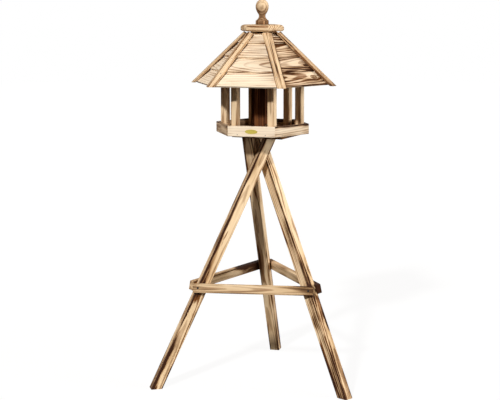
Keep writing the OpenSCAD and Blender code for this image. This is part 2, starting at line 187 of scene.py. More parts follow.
def merged_copy(node):
    """A copy of the node, its loose triangles joined into flat faces."""
    bm = bmesh.new()
    bm.from_mesh(frame["nodes"][node].data)
    for face in bm.faces:
        face.smooth = False
    bmesh.ops.remove_doubles(bm, verts=bm.verts, dist=SAME_POINT)
    bmesh.ops.dissolve_limit(
        bm, angle_limit=FLAT, use_dissolve_boundaries=False,
        verts=bm.verts, edges=bm.edges, delimit=set())
    return bm


def wear(bm, radius, longer_than=LONG_EDGE, segments=2, only=None):
    """Rounds the long outer edges."""
    edges = [
        e for e in bm.edges
        if e.is_manifold and e.is_convex and e.calc_length() > longer_than
        and e.calc_face_angle() > SHARP and (only is None or only(e))]
    made = bmesh.ops.bevel(
        bm, geom=edges, offset=radius, offset_type="OFFSET", segments=segments, profile=0.5,
        affect="EDGES", clamp_overlap=True, material=-1)
    for face in made["faces"]:
        face.smooth = True


def islands(bm):
    """The connected solids as lists of faces: the lowest first, then from left and from front."""
    left = set(bm.faces)
    found = []
    for start in bm.faces:
        if start not in left:
            continue
        left.remove(start)
        group, queue = [start], [start]
        while queue:
            for edge in queue.pop().edges:
                for face in edge.link_faces:
                    if face in left:
                        left.remove(face)
                        group.append(face)
                        queue.append(face)
        found.append(group)

    def middle(group):
        centres = [f.calc_center_median() for f in group]
        return [round(sum(c[i] for c in centres) / len(centres), 4) for i in (2, 0, 1)]

    return sorted(found, key=middle)


def longest_edge(faces):
    """Where the longest edge starts and ends."""
    edge = max((e for f in faces for e in f.edges), key=lambda e: e.calc_length())
    return edge.verts[0].co, edge.verts[1].co


def grain_axes(faces, along=None, through=None):
    """Directions along the grain, across it and through the piece."""
    if along is None:
        start, end = longest_edge(faces)
        along = end - start
        along = along * (1 if max(along, key=abs) > 0 else -1)
    along = along.normalized()
    if through is None:
        sides = [f for f in faces if abs(f.normal.dot(along)) < SIDE_LEAN]
        flat = max(sides, key=lambda f: f.calc_area())
        through = flat.normal
    through = (through - along * through.dot(along)).normalized()
    return along, through.cross(along), through


def extent(faces, axes):
    """The middle and the half sizes of some faces in the given axes."""
    corners = {v for f in faces for v in f.verts}
    lows = [min(v.co.dot(a) for v in corners) for a in axes]
    highs = [max(v.co.dot(a) for v in corners) for a in axes]
    middle = sum((a * (lo + hi) / 2 for a, lo, hi in zip(axes, lows, highs)), Vector())
    return middle, Vector((hi - lo) / 2 for lo, hi in zip(lows, highs))


def drawn_look(rng, half, axes, look):
    """The grain of one piece: drawn at random, then changed by what look gives."""
    if look.get("straight"):
        pith = (rng.choice((-1, 1)) * rng.uniform(*STRAIGHT_ASIDE), rng.uniform(*STRAIGHT_DEEP),
                rng.uniform(*STRAIGHT_DRIFT))
    else:
        pith = (rng.uniform(*ARCHED_ASIDE) * half[1], -half[2] - rng.uniform(*ARCHED_DEEP),
                rng.choice((-1, 1)) * rng.uniform(*ARCHED_DRIFT))
    scorch_and_shade = rng.uniform(*OWN_SCORCH) + look.get("scorch_and_shade", 0)
    streak = (0, 0, 0)
    if "burnt_and_shaded_side" in look:
        side = Vector(look["burnt_and_shaded_side"])
        streak = (math.copysign(half[1], side.dot(axes[1])), math.copysign(half[2], side.dot(axes[2])),
                  look.get("burnt_and_shaded", 1.0))
    return {
        "half": half,
        "pith": look.get("pith", pith),
        "tone": (look.get("light", rng.uniform(*OWN_LIGHT)), scorch_and_shade,
                 look.get("seed", rng.uniform(*OWN_NOISE))),
        "knot": look.get("knot", (0, 0, 0)),
        "streak": streak,
        "ends": look.get("ends", USUAL_ENDS),
    }


def grain(bm, name, along=None, through=None, looks=None):
    """Writes the grain attributes of every solid in the bmesh."""
    for attribute in GRAIN_ATTRIBUTES:
        bm.verts.layers.float_vector.new(attribute)
    layers = {a: bm.verts.layers.float_vector[a] for a in GRAIN_ATTRIBUTES}
    rng = random.Random(name)
    for i, faces in enumerate(islands(bm)):
        look = looks[min(i, len(looks) - 1)] if looks else {}
        axes = grain_axes(faces, along, through)
        if "facing" in look:
            shown = Vector(look["facing"])
            through = max((axes[1], axes[2], -axes[1], -axes[2]), key=shown.dot)
            axes = (axes[0], through.cross(axes[0]), through)
        middle, half = extent(faces, axes)
        values = {k: Vector(v) for k, v in drawn_look(rng, half, axes, look).items()}
        for vert in {v for f in faces for v in f.verts}:
            away = vert.co - middle
            vert[layers["place"]] = Vector(away.dot(a) for a in axes)
            for key, value in values.items():
                vert[layers[key]] = value


def new_object(bm, name):
    """An object in the scene that holds the bmesh, which is used up."""
    mesh = bpy.data.meshes.new(name)
    bm.to_mesh(mesh)
    bm.free()
    made = bpy.data.objects.new(name, mesh)
    bpy.context.scene.collection.objects.link(made)
    return made


def finish_piece(bm, name, nodes, slot):
    """Makes the piece, puts it on its nodes' body and lets it stand for them."""
    piece = new_object(bm, name)
    piece.data.materials.append(bpy.data.materials[slot + FINISH])
    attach(piece, BODY_OF[nodes[0]])
    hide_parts(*nodes)


def timber(node, slot, radius, along=None, through=None, looks=None):
    """A worn copy of a wooden node, with its grain."""
    bm = merged_copy(node)
    wear(bm, radius)
    grain(bm, node, along, through, looks)
    finish_piece(bm, node + "_timber", [node], slot)


def combine(bm, other, operation):
    """bm with other taken off it or kept as its limit. Both are closed, and used up."""
    work, tool = new_object(bm, "work"), new_object(other, "tool")
    cut = work.modifiers.new("cut", "BOOLEAN")
    cut.operation = operation
    cut.solver = "EXACT"
    cut.object = tool
    bpy.context.view_layer.update()
    evaluated = work.evaluated_get(bpy.context.evaluated_depsgraph_get())
    result = bmesh.new()
    result.from_mesh(evaluated.to_mesh())
    evaluated.to_mesh_clear()
    for obj in (work, tool):
        mesh = obj.data
        bpy.data.objects.remove(obj)
        bpy.data.meshes.remove(mesh)
    bmesh.ops.remove_doubles(result, verts=result.verts, dist=SAME_MADE_POINT)
    return result


def thicken(bm, thickness):
    """Gives the flat shape a thickness, upwards."""
    raised = bmesh.ops.extrude_face_region(bm, geom=bm.faces[:])
    top = [v for v in raised["geom"] if isinstance(v, bmesh.types.BMVert)]
    bmesh.ops.translate(bm, verts=top, vec=(0, 0, thickness))
    bmesh.ops.recalc_face_normals(bm, faces=bm.faces)


def turned(profile, steps):
    """A profile of (height, radius), spun round the z axis into a closed shape."""
    bm = bmesh.new()
    verts = [bm.verts.new((r, 0, z)) for z, r in profile]
    edges = [bm.edges.new(pair) for pair in zip(verts, verts[1:])]
    bmesh.ops.spin(bm, geom=verts + edges, axis=(0, 0, 1), cent=(0, 0, 0), angle=2 * math.pi,
                   steps=steps, use_merge=True)
    bmesh.ops.remove_doubles(bm, verts=bm.verts, dist=SAME_MADE_POINT)
    bmesh.ops.recalc_face_normals(bm, faces=bm.faces)
    return bm


def axes_matrix(axes, middle, size=(1, 1, 1)):
    """The matrix that puts a unit shape at middle, along the axes and in the given size."""
    columns = [a * s for a, s in zip(axes, size)]
    return Matrix.Translation(middle) @ Matrix(columns).transposed().to_4x4()


def fastener_places(node):
    """For each screw or nail, a matrix with z out of the middle of its head, and its length."""
    bm = merged_copy(node)
    places = []
    for faces in islands(bm):
        start, end = longest_edge(faces)
        axis = (end - start).normalized()
        corners = list(dict.fromkeys(v for f in faces for v in f.verts))
        middle = sum((v.co for v in corners), Vector()) / len(corners)
        widest = max(corners, key=lambda v: (v.co - middle - axis * (v.co - middle).dot(axis)).length)
        if (widest.co - (start + end) / 2).dot(axis) < 0:
            axis = -axis
        spread = [(v.co - middle).dot(axis) for v in corners]
        side = axis.orthogonal().normalized()
        rim = [v.co for v in corners if (v.co - middle).dot(axis) > max(spread) - SAME_HEIGHT]
        top = sum(rim, Vector()) / len(rim)
        placed = axes_matrix((side, axis.cross(side), axis), top)
        places.append((placed, max(spread) - min(spread)))
    bm.free()
    return places


def repeat(shape, node):
    """The shape, made for each fastener's length, at every place of the node's fasteners."""
    whole = bmesh.new()
    for place, long in fastener_places(node):
        one = shape(long)
        bmesh.ops.transform(one, matrix=place, verts=one.verts)
        spare = bpy.data.meshes.new("spare")
        one.to_mesh(spare)
        one.free()
        whole.from_mesh(spare)
        bpy.data.meshes.remove(spare)
    return whole


# Materials

class Tree:
    """Adds and links nodes in one node tree."""

    def __init__(self, tree):
        self.tree = tree

    def node(self, kind, given=(), **settings):
        """A new node with its settings, fed with what is given."""
        made = self.tree.nodes.new(kind)
        for key, value in settings.items():
            setattr(made, key, value)
        self.feed(made, given)
        return made

    def feed(self, node, given):
        """Gives the node's inputs, by name or place, a value or the output of another node."""
        for key, value in dict(given).items():
            if isinstance(value, bpy.types.NodeSocket):
                self.tree.links.new(value, node.inputs[key])
            else:
                node.inputs[key].default_value = value

    def math(self, operation, *values, clamp=False):
        made = self.node("ShaderNodeMath", enumerate(values), operation=operation, use_clamp=clamp)
        return made.outputs[0]

    def scaled(self, value, factor, plus=0.0):
        return self.math("MULTIPLY_ADD", value, factor, plus)

    def squares(self, first, second):
        return self.math("ADD", self.math("MULTIPLY", first, first),
                         self.math("MULTIPLY", second, second))

    def fall(self, value, low, high):
        """1 below low, 0 above high."""
        return self.math("SUBTRACT", 1.0, self.step(value, low, high))

    def step(self, value, low, high):
        """0 below low, 1 above high."""
        given = {"Value": value, "From Min": low, "From Max": high}
        return self.node("ShaderNodeMapRange", given, interpolation_type="SMOOTHSTEP").outputs[0]

    def blend(self, factor, first, second):
        given = {0: factor, 6: first, 7: second}
        return self.node("ShaderNodeMix", given, data_type="RGBA").outputs[2]

    def between(self, factor, first, second):
        given = {0: factor, 2: first, 3: second}
        return self.node("ShaderNodeMix", given, data_type="FLOAT").outputs[0]

    def split(self, vector):
        return self.node("ShaderNodeSeparateXYZ", {0: vector}).outputs

    def attribute(self, name):
        return self.node("ShaderNodeAttribute", attribute_name=name).outputs["Vector"]

    def noise(self, vector, scale=1.0, detail=2.0, rough=0.5):
        given = {"Vector": vector, "Scale": scale, "Detail": detail, "Roughness": rough}
        return self.node("ShaderNodeTexNoise", given).outputs["Fac"]

    def relief(self, height, strength, depth):
        given = {"Height": height, "Strength": strength, "Distance": depth}
        return self.node("ShaderNodeBump", given).outputs[0]

    def seen(self):
        """1 for rays from the camera, also through mirrors and glass; 0 for light on the object."""
        path = self.node("ShaderNodeLightPath").outputs
        return self.math("MAXIMUM", path["Is Camera Ray"],
                         self.math("MAXIMUM", path["Is Glossy Ray"], path["Is Transmission Ray"]))


def paint(rgb):
    """A shader colour from a palette colour."""
    linear = Color(rgb).from_srgb_to_scene_linear()
    return (linear.r, linear.g, linear.b, 1.0)


def new_finish(slot):
    """Starts a slot's material, and gives its tree and its shader."""
    material = bpy.data.materials.new(slot + FINISH)
    material.use_nodes = True
    return Tree(material.node_tree), material.node_tree.nodes["Principled BSDF"]


# What the wood's node group is given and gives
COLOURS_IN = ("Pale", "Tan", "Line", "Char")
NUMBERS_IN = ("Ring gap", "Line strength", "Scorch", "Edge scorch", "Spread")
COLOURS_OUT = ("Color",)
NUMBERS_OUT = ("Roughness", "Height")
# Noises in the wood: waves a metre along the grain and across it, and a shift of its own
NOISES = {
    "wander": (3.0, 12, 3.0),
    "waver": (14, 70, 9.0),
    "clouds": (5.0, 17, 17.0),
    "streaks": (8.0, 75, 23.0),
    "patches": (6, 8, 31.0),
    "streak edge": (7, 30, 37.0),
    "toast": (3.2, 16, 41.0),
    "fibre": (30, 900, 47.0),
    "ragged": (11, 24, 53.0),
}
# Lengths in metres
RING_WANDER = 0.011
RING_WAVER = 0.0024
KNOT_RING = 0.0024
EDGE_REACH = 0.0055
STREAK_CORE = 0.010
STREAK_WIDTH = 0.012
STREAK_WAVER = 0.028
TINY = 1e-5
# How much longer than wide a knot is, and where its rim starts and ends, in radii
KNOT_STRETCH = 1.5
KNOT_RIM = (0.6, 1.15)
# Burn is 0 on fresh wood and about 1 on charred wood, and on some pieces it also holds painted shade.
# What a knot adds, what a streak adds at most, and the most that counts for the rings and the toasted
# colour
KNOT_BURN = 0.30
STREAK_BURN = 1.1
MOST_BURN = 1.2
# The burn at which a colour starts to show and shows fully, and how much it covers
BROWNS = (0.35, 1.0)
CHARS = (0.85, 1.20)
CHARS_RINGS = (0.25, 0.9)
BROWN_COVER = 0.65
CHAR_COVER = 0.92
# Where the noise lets the edges burn
PATCHES = (0.40, 0.60)
# Late wood: where it starts in a ring (by the burn, and unburnt), how it rises and ends, and how dark
LATE_START = (-0.62, 0.66)
LATE_RISE = 0.26
LATE_END = (0.93, 1.0)
LATE_BY_RING = (0.7, 0.3)
LATE_BY_BURN = 0.4
LINE_BY_BURN = 0.55
# Factor of a value in the colour, gloss or relief, and what is added
TOAST_BY_BURN = 0.75
TOAST_BY_NOISE = (0.5, -0.25)
LEVEL_BY_LIGHT = (0.07, 0.97)
LEVEL_BY_FIBRE = (0.14, -0.07)
ROUGH_BY_FIBRE = (0.22, 0.56)
ROUGH_BY_LATE = 0.10
RAISED_BY_LATE = 0.6
RAISED_BY_FIBRE = 0.4
FIBRE_ROUGHNESS = 0.6


def flamed_wood():
    """Node group: growth rings, fibres, a knot and scorch, all from the grain attributes."""
    tree = bpy.data.node_groups.new("flamed_wood", "ShaderNodeTree")
    for names, way, kind in ((COLOURS_IN, "INPUT", "Color"), (NUMBERS_IN, "INPUT", "Float"),
                             (COLOURS_OUT, "OUTPUT", "Color"), (NUMBERS_OUT, "OUTPUT", "Float")):
        for name in names:
            tree.interface.new_socket(name, in_out=way, socket_type="NodeSocket" + kind)
    t = Tree(tree)
    given = t.node("NodeGroupInput").outputs
    place, half, pith, tone, knot, streak, ends = (t.attribute(a) for a in GRAIN_ATTRIBUTES)
    u, v, w = t.split(place)
    half_u, half_v, half_w = t.split(half)
    pith_v, pith_w, drift = t.split(pith)
    light, scorch_and_shade, seed = t.split(tone)
    knot_u, knot_v, knot_r = t.split(knot)
    streak_v, streak_w, strength = t.split(streak)
    low_end, high_end, end_reach = t.split(ends)

    def noise(name, rough=0.5):
        lengthwise, crosswise, shift = NOISES[name]
        apart = t.node("ShaderNodeCombineXYZ", dict.fromkeys("XYZ", t.math("ADD", seed, shift)))
        terms = (place, (lengthwise, crosswise, crosswise), apart.outputs[0])
        where = t.node("ShaderNodeVectorMath", enumerate(terms), operation="MULTIPLY_ADD")
        return t.noise(where.outputs[0], rough=rough)

    # The grain flows round a knot, and the knot has rings of its own.
    from_knot_u = t.math("DIVIDE", t.math("SUBTRACT", u, knot_u), KNOT_STRETCH)
    from_knot_v = t.math("SUBTRACT", v, knot_v)
    square = t.squares(from_knot_u, from_knot_v)
    radius = t.math("MAXIMUM", knot_r, TINY)
    radius_square = t.math("MULTIPLY", radius, radius)
    flow = t.math("SUBTRACT", 1.0, t.math("DIVIDE", radius_square,
                                          t.math("MAXIMUM", square, radius_square)))
    bent_v = t.scaled(from_knot_v, flow, knot_v)
    knot_away = t.math("SQRT", square)
    in_knot = t.fall(t.math("DIVIDE", knot_away, radius), *KNOT_RIM)

    # Growth rings, seen as arcs and flames where the face cuts them
    across = t.math("SUBTRACT", bent_v, pith_v)
    deep = t.scaled(u, drift, t.math("SUBTRACT", w, pith_w))
    ring_r = t.math("SQRT", t.squares(across, deep))
    ring_r = t.scaled(noise("wander"), RING_WANDER, ring_r)
    ring_r = t.scaled(noise("waver"), RING_WAVER, ring_r)
    phase = t.between(in_knot, t.math("DIVIDE", ring_r, given["Ring gap"]),
                      t.math("DIVIDE", knot_away, KNOT_RING))
    ring = t.math("FLOOR", phase)
    part = t.math("SUBTRACT", phase, ring)
    own = t.node("ShaderNodeTexWhiteNoise", {"W": t.math("ADD", ring, seed)}, noise_dimensions="1D")

    # Burn and painted shade: where the flame dwelt, streaks along the grain, edges, ends, the knot, the
    # dark streak; on some pieces the scorch, the ends and the streak also hold painted shade
    burn_and_shade = t.math("ADD", given["Scorch"], scorch_and_shade)
    for name in ("clouds", "streaks"):
        burn_and_shade = t.scaled(t.math("SUBTRACT", noise(name), 0.5), given["Spread"], burn_and_shade)
    long_edge = t.math("MAXIMUM", t.math("SUBTRACT", half_v, t.math("ABSOLUTE", v)),
                       t.math("SUBTRACT", half_w, t.math("ABSOLUTE", w)))
    edges = t.math("MULTIPLY", t.fall(long_edge, 0.0, EDGE_REACH), t.step(noise("patches"), *PATCHES))
    burn_and_shade = t.scaled(edges, given["Edge scorch"], burn_and_shade)
    ragged = t.math("MULTIPLY", end_reach, t.scaled(noise("ragged"), 2.0, -1.0))
    for end, turn in ((low_end, 1.0), (high_end, -1.0)):
        away = t.math("ADD", t.scaled(u, turn, half_u), ragged)
        burn_and_shade = t.scaled(end, t.fall(away, 0.0, end_reach), burn_and_shade)
    burn_and_shade = t.scaled(in_knot, KNOT_BURN, burn_and_shade)
    off = t.math("SQRT", t.squares(t.math("SUBTRACT", v, streak_v), t.math("SUBTRACT", w, streak_w)))
    off = t.scaled(noise("streak edge"), STREAK_WAVER, t.math("SUBTRACT", off, STREAK_CORE))
    in_streak = t.fall(off, 0.0, t.scaled(strength, STREAK_WIDTH, TINY))
    burn_and_shade = t.scaled(in_streak, t.math("MINIMUM", strength, STREAK_BURN), burn_and_shade)
    burnt_and_shaded = t.math("MAXIMUM", t.math("MINIMUM", burn_and_shade, MOST_BURN), 0.0)

    # The late wood is dark, and broader where the flame dwelt and where shade is painted.
    late_start = t.scaled(burnt_and_shaded, *LATE_START)
    late = t.math("MULTIPLY", t.step(part, late_start, t.math("ADD", late_start, LATE_RISE)),
                  t.fall(part, *LATE_END))
    late = t.math("MULTIPLY", late, t.math("ADD", t.scaled(own.outputs["Value"], *LATE_BY_RING),
                                           t.scaled(burnt_and_shaded, LATE_BY_BURN)), clamp=True)

    # Colour
    fibre = noise("fibre", FIBRE_ROUGHNESS)
    toasted = t.math("ADD", t.scaled(burnt_and_shaded, TOAST_BY_BURN), t.scaled(noise("toast"), *TOAST_BY_NOISE),
                     clamp=True)
    body = t.blend(toasted, given["Pale"], given["Tan"])
    line = t.blend(t.step(burnt_and_shaded, *CHARS_RINGS), given["Line"], given["Char"])
    lined = t.math("MULTIPLY", late, t.scaled(burnt_and_shaded, LINE_BY_BURN, given["Line strength"]), clamp=True)
    colour = t.blend(t.scaled(t.step(burn_and_shade, *BROWNS), BROWN_COVER), body, given["Line"])
    colour = t.blend(lined, colour, line)
    colour = t.blend(t.scaled(t.step(burn_and_shade, *CHARS), CHAR_COVER), colour, given["Char"])
    level = t.math("ADD", t.scaled(light, *LEVEL_BY_LIGHT), t.scaled(fibre, *LEVEL_BY_FIBRE))
    tinted = t.node("ShaderNodeVectorMath", {0: colour, "Scale": level}, operation="SCALE")
    t.node("NodeGroupOutput", {
        "Color": tinted.outputs[0],
        "Roughness": t.math("SUBTRACT", t.scaled(fibre, *ROUGH_BY_FIBRE),
                            t.scaled(late, ROUGH_BY_LATE)),
        "Height": t.math("ADD", t.scaled(late, RAISED_BY_LATE), t.scaled(fibre, RAISED_BY_FIBRE)),
    })
    return tree


# Per slot: the palette's colours for COLOURS_IN, where the last is "char" for all, and NUMBERS_IN
WOODS = {
    "leg_wood": ("straw", "olive", "brown", 0.0040, 0.92, 0.24, 0.60, 1.5),
    "brace_wood": ("straw", "olive", "brown", 0.0042, 0.45, 0.30, 0.45, 1.3),
    "plate_wood": ("tan", "brown", "char", 0.0070, 0.60, 0.75, 0.30, 1.0),
    "floor_wood": ("honey", "tan", "brown", 0.0080, 0.55, 0.35, 0.20, 1.0),
    "tray_wood": ("cream", "olive", "brown", 0.0065, 0.34, 0.10, 0.35, 1.1),
    "post_wood": ("straw", "tan", "brown", 0.0055, 0.45, 0.22, 0.45, 1.1),
    # The silo's dark wood is partly scorch and partly painted shade under the roof.
    "silo_wood": ("brown", "plum", "char", 0.0060, 0.60, 0.75, 0.40, 1.1),
    "rafter_wood": ("straw", "tan", "brown", 0.0055, 0.45, 0.30, 0.40, 1.1),
    "board_wood": ("cream", "olive", "brown", 0.0070, 0.70, 0.12, 0.25, 1.3),
    "lath_wood": ("straw", "tan", "brown", 0.0045, 0.60, 0.18, 0.85, 1.1),
    "cap_wood": ("straw", "tan", "brown", 0.0060, 0.70, 0.18, 0.80, 1.3),
    "plug_wood": ("honey", "tan", "brown", 0.0070, 0.45, 0.25, 0.20, 1.0),
    "knob_wood": ("straw", "tan", "brown", 0.0055, 0.35, 0.22, 0.00, 1.0),
    "dowel_beech": ("honey", "tan", "brown", 0.0030, 0.30, 0.10, 0.00, 0.8),
}

# Strength and depth of the relief
WOOD_RELIEF = (0.6, 0.0005)
METAL_RELIEF = (0.3, 0.0001)
# The wood hardly shines, and the silo, in the shade, not at all.
WOOD_SHINE = 0.05
SILO_SHINE = 0.0
# Waves a metre of the clouds and the scratches on metal, and how the scratches dull it
METAL_CLOUDS = 260.0
METAL_GRIT = 2400.0
CLOUD_EDGES = (0.3, 0.7)
GRIT_ROUGH = 0.25
GRIT_MIDDLE = 0.12


def wood_material(slot, palette, group):
    t, shader = new_finish(slot)
    pale, tan, line, *numbers = WOODS[slot]
    colours = [paint(getattr(palette, key)) for key in (pale, tan, line, "char")]
    given = zip(COLOURS_IN + NUMBERS_IN, colours + numbers)
    wood = t.node("ShaderNodeGroup", given, node_tree=group).outputs
    t.feed(shader, {
        "Base Color": wood["Color"],
        "Roughness": wood["Roughness"],
        "Normal": t.relief(wood["Height"], *WOOD_RELIEF),
        "Specular IOR Level": SILO_SHINE if slot == "silo_wood" else WOOD_SHINE,
    })


def metal_material(slot, colour, rough, metallic, dark=0.75):
    """Steel or pressed foil: small clouds in the colour and fine scratches in the gloss."""
    t, shader = new_finish(slot)
    where = t.node("ShaderNodeTexCoord").outputs["Object"]
    clouds = t.noise(where, METAL_CLOUDS, detail=3)
    grit = t.noise(where, METAL_GRIT)
    deep = tuple(c * dark for c in paint(colour)[:3]) + (1.0,)
    t.feed(shader, {
        "Base Color": t.blend(t.step(clouds, *CLOUD_EDGES), deep, paint(colour)),
        "Roughness": t.scaled(grit, GRIT_ROUGH, rough - GRIT_MIDDLE),
        "Metallic": metallic,
        "Normal": t.relief(grit, *METAL_RELIEF),
    })


class FEEDER_OT_finishes(bpy.types.Operator):
    """Make the finishes of every material slot"""
    bl_idname = "feeder.finishes"
    bl_label = "Finishes"

    def execute(self, context):
        palette = context.scene.feeder_palette
        group = flamed_wood()
        for slot in WOODS:
            wood_material(slot, palette, group)
        metal_material("screw_steel", palette.black_steel, rough=0.45, metallic=0.9)
        metal_material("nail_steel", palette.steel, rough=0.4, metallic=1.0)
        metal_material("plaque_yellow", palette.yellow, rough=0.38, metallic=0.25, dark=0.85)
        return {"FINISHED"}


# Stand

class FEEDER_OT_stand(bpy.types.Operator):
    """Make the three twisted legs, their dowels and the three braces"""
    bl_idname = "feeder.stand"
    bl_label = "Stand"

    LEG_LOOKS = {
        "left": {"facing": (0.3, -1, 0), "pith": (0.003, -0.012, 0.014), "scorch_and_shade": 0.12, "light": 1.0,
                 "burnt_and_shaded_side": (-1, -0.6, 0), "burnt_and_shaded": 1.2, "ends": (0.5, -0.02, 0.34), "seed": 11.0},
        "right": {"facing": (1, -0.5, 0), "pith": (-0.01, -0.02, 0.010), "scorch_and_shade": -0.06, "light": 1.0,
                  "burnt_and_shaded_side": (0.25, -0.97, 0), "burnt_and_shaded": 0.7, "ends": (0.75, 0.1, 0.62)},
        "back": {"facing": (-0.3, -1, 0), "pith": (0.006, -0.015, 0.010), "scorch_and_shade": -0.14, "light": 1.0,
                 "burnt_and_shaded_side": (0.9, -0.4, 0), "burnt_and_shaded": 0.8, "ends": (0.25, 0.2, 0.4), "seed": 12.0},
    }
    BRACE_LOOKS = {
        "front": {"facing": (0, -1, 0), "pith": (0.0, -0.004, 0.02), "scorch_and_shade": 0.17, "light": -0.9,
                  "ends": (0.1, 0.1, 0.03)},
        "right": {"facing": (1, -1, 0), "scorch_and_shade": 0.22, "light": 0.3, "ends": (1.1, 0.2, 0.06)},
        "left": {"facing": (-1, -1, 0), "scorch_and_shade": -0.10, "light": 1.0, "ends": (0.2, 1.3, 0.24)},
    }

    # A leg's bar is cut from one that is longer by this much and thicker by a hair.
    SPARE = 0.1
    HAIR = 4e-5
    LEG_EDGE_STEPS = 3
    # Edges of the dowels that turn less than this are smooth.
    ROUND = math.radians(30)

    def execute(self, context):
        shape = context.scene.feeder_shape
        for leg, look in self.LEG_LOOKS.items():
            self.leg("leg_" + leg, shape.leg_edge, look)
        for brace, look in self.BRACE_LOOKS.items():
            timber("brace_" + brace, "brace_wood", shape.bar_edge, looks=[dict(look, straight=True)])
        bm = merged_copy("cross_dowels")
        for edge in bm.edges:
            edge.smooth = edge.calc_face_angle(0) < self.ROUND
        for face in bm.faces:
            face.smooth = True
        grain(bm, "cross_dowels", looks=[{"straight": True}])
        finish_piece(bm, "cross_dowels_turned", ["cross_dowels"], "dowel_beech")
        return {"FINISHED"}

    def leg(self, node, radius, look):
        """The leg's bar gets round edges, and the seats of the solid are cut out of it."""
        solid = merged_copy(node)
        axes = grain_axes(list(solid.faces))
        middle, half = extent(list(solid.faces), axes)
        size = [2 * h + more for h, more in zip(half, (self.SPARE, self.HAIR, self.HAIR))]
        bar = bmesh.new()
        bmesh.ops.create_cube(bar, size=1, matrix=axes_matrix(axes, middle, size))
        wear(bar, radius, longer_than=half[0], segments=self.LEG_EDGE_STEPS)
        bm = combine(bar, solid, "INTERSECT")
        grain(bm, node, along=axes[0], through=axes[2], looks=[look])
        finish_piece(bm, node + "_timber", [node], "leg_wood")


class FEEDER_OT_tray(bpy.types.Operator):
    """Make the mounting plate, the floor and the six boards round it"""
    bl_idname = "feeder.tray"
    bl_label = "Tray"

    LOOKS = {
        "front": {"scorch_and_shade": -0.22, "light": 1.0, "pith": (0.045, -0.02, 0.02)},
        "front_right": {"scorch_and_shade": 0.38, "light": -0.9, "burnt_and_shaded_side": (0.9, -0.5, 1), "burnt_and_shaded": 1.1,
                        "pith": (-0.02, -0.02, 0.08)},
        "front_left": {"scorch_and_shade": 0.30, "light": 0.6},
    }
    # The three back boards are darkened: painted shade for the roof's shadow on their inner faces, with
    # some scorch.
    SHADED_BACK_LOOK = {"scorch_and_shade": 0.62, "light": -0.6}

    def execute(self, context):
        shape = context.scene.feeder_shape
        timber("mounting_plate", "plate_wood", shape.bar_edge, along=RIGHT, through=UP)
        timber("floor", "floor_wood", shape.board_edge, along=RIGHT, through=UP)
        for side in SIDES:
            look = self.LOOKS.get(side, self.SHADED_BACK_LOOK)
            timber("tray_board_" + side, "tray_wood", shape.board_edge, looks=[look])
        return {"FINISHED"}


class FEEDER_OT_posts(bpy.types.Operator):
    """Make the six square posts"""
    bl_idname = "feeder.posts"
    bl_label = "Posts"

    # The darkened upper ends of posts 1, 2, 5 and 6 are painted shade under the eaves, with some
    # scorch.
    LOOKS = {
        1: {"scorch_and_shade": -0.10, "light": 1.0, "ends": (0.0, 0.35, 0.06)},
        2: {"scorch_and_shade": -0.05, "light": 1.0, "ends": (0.1, 0.35, 0.06)},
        3: {"scorch_and_shade": 0.05, "light": 0.4},
        4: {"scorch_and_shade": 0.45, "light": -0.5},
        5: {"scorch_and_shade": -0.05, "light": 0.5, "ends": (0.1, 0.6, 0.09)},
        6: {"scorch_and_shade": -0.08, "light": 1.0, "ends": (0.1, 0.4, 0.06), "burnt_and_shaded_side": (1, 0.3, 0),
            "burnt_and_shaded": 0.5},
    }

    def execute(self, context):
        shape = context.scene.feeder_shape
        for k in CORNERS:
            look = dict(self.LOOKS[k], straight=True)
            timber(f"post_{k}", "post_wood", shape.bar_edge, looks=[look])
        return {"FINISHED"}


class FEEDER_OT_silo(bpy.types.Operator):
    """Make the six staves of the seed silo"""
    bl_idname = "feeder.silo"
    bl_label = "Silo"

    # Scorch per stave: the left staves are charred black, partly scorch and partly painted shade under
    # the roof.
    SCORCH_AND_SHADE = {"front": 0.05, "front_right": 0.1, "back_right": 0.2, "back": 0.2, "back_left": 1.0,
              "front_left": 1.3}
    # A lighter foot and a darker top: painted light where light reaches under the eaves and painted
    # shade under the roof, with the scorch.
    SHADED_TOP_LIT_FOOT = (-0.4, 0.5, 0.09)

    def execute(self, context):
        shape = context.scene.feeder_shape
        for side in SIDES:
            look = {"straight": True, "scorch_and_shade": self.SCORCH_AND_SHADE[side], "ends": self.SHADED_TOP_LIT_FOOT}
            timber("silo_stave_" + side, "silo_wood", shape.board_edge, along=UP, looks=[look])
        return {"FINISHED"}


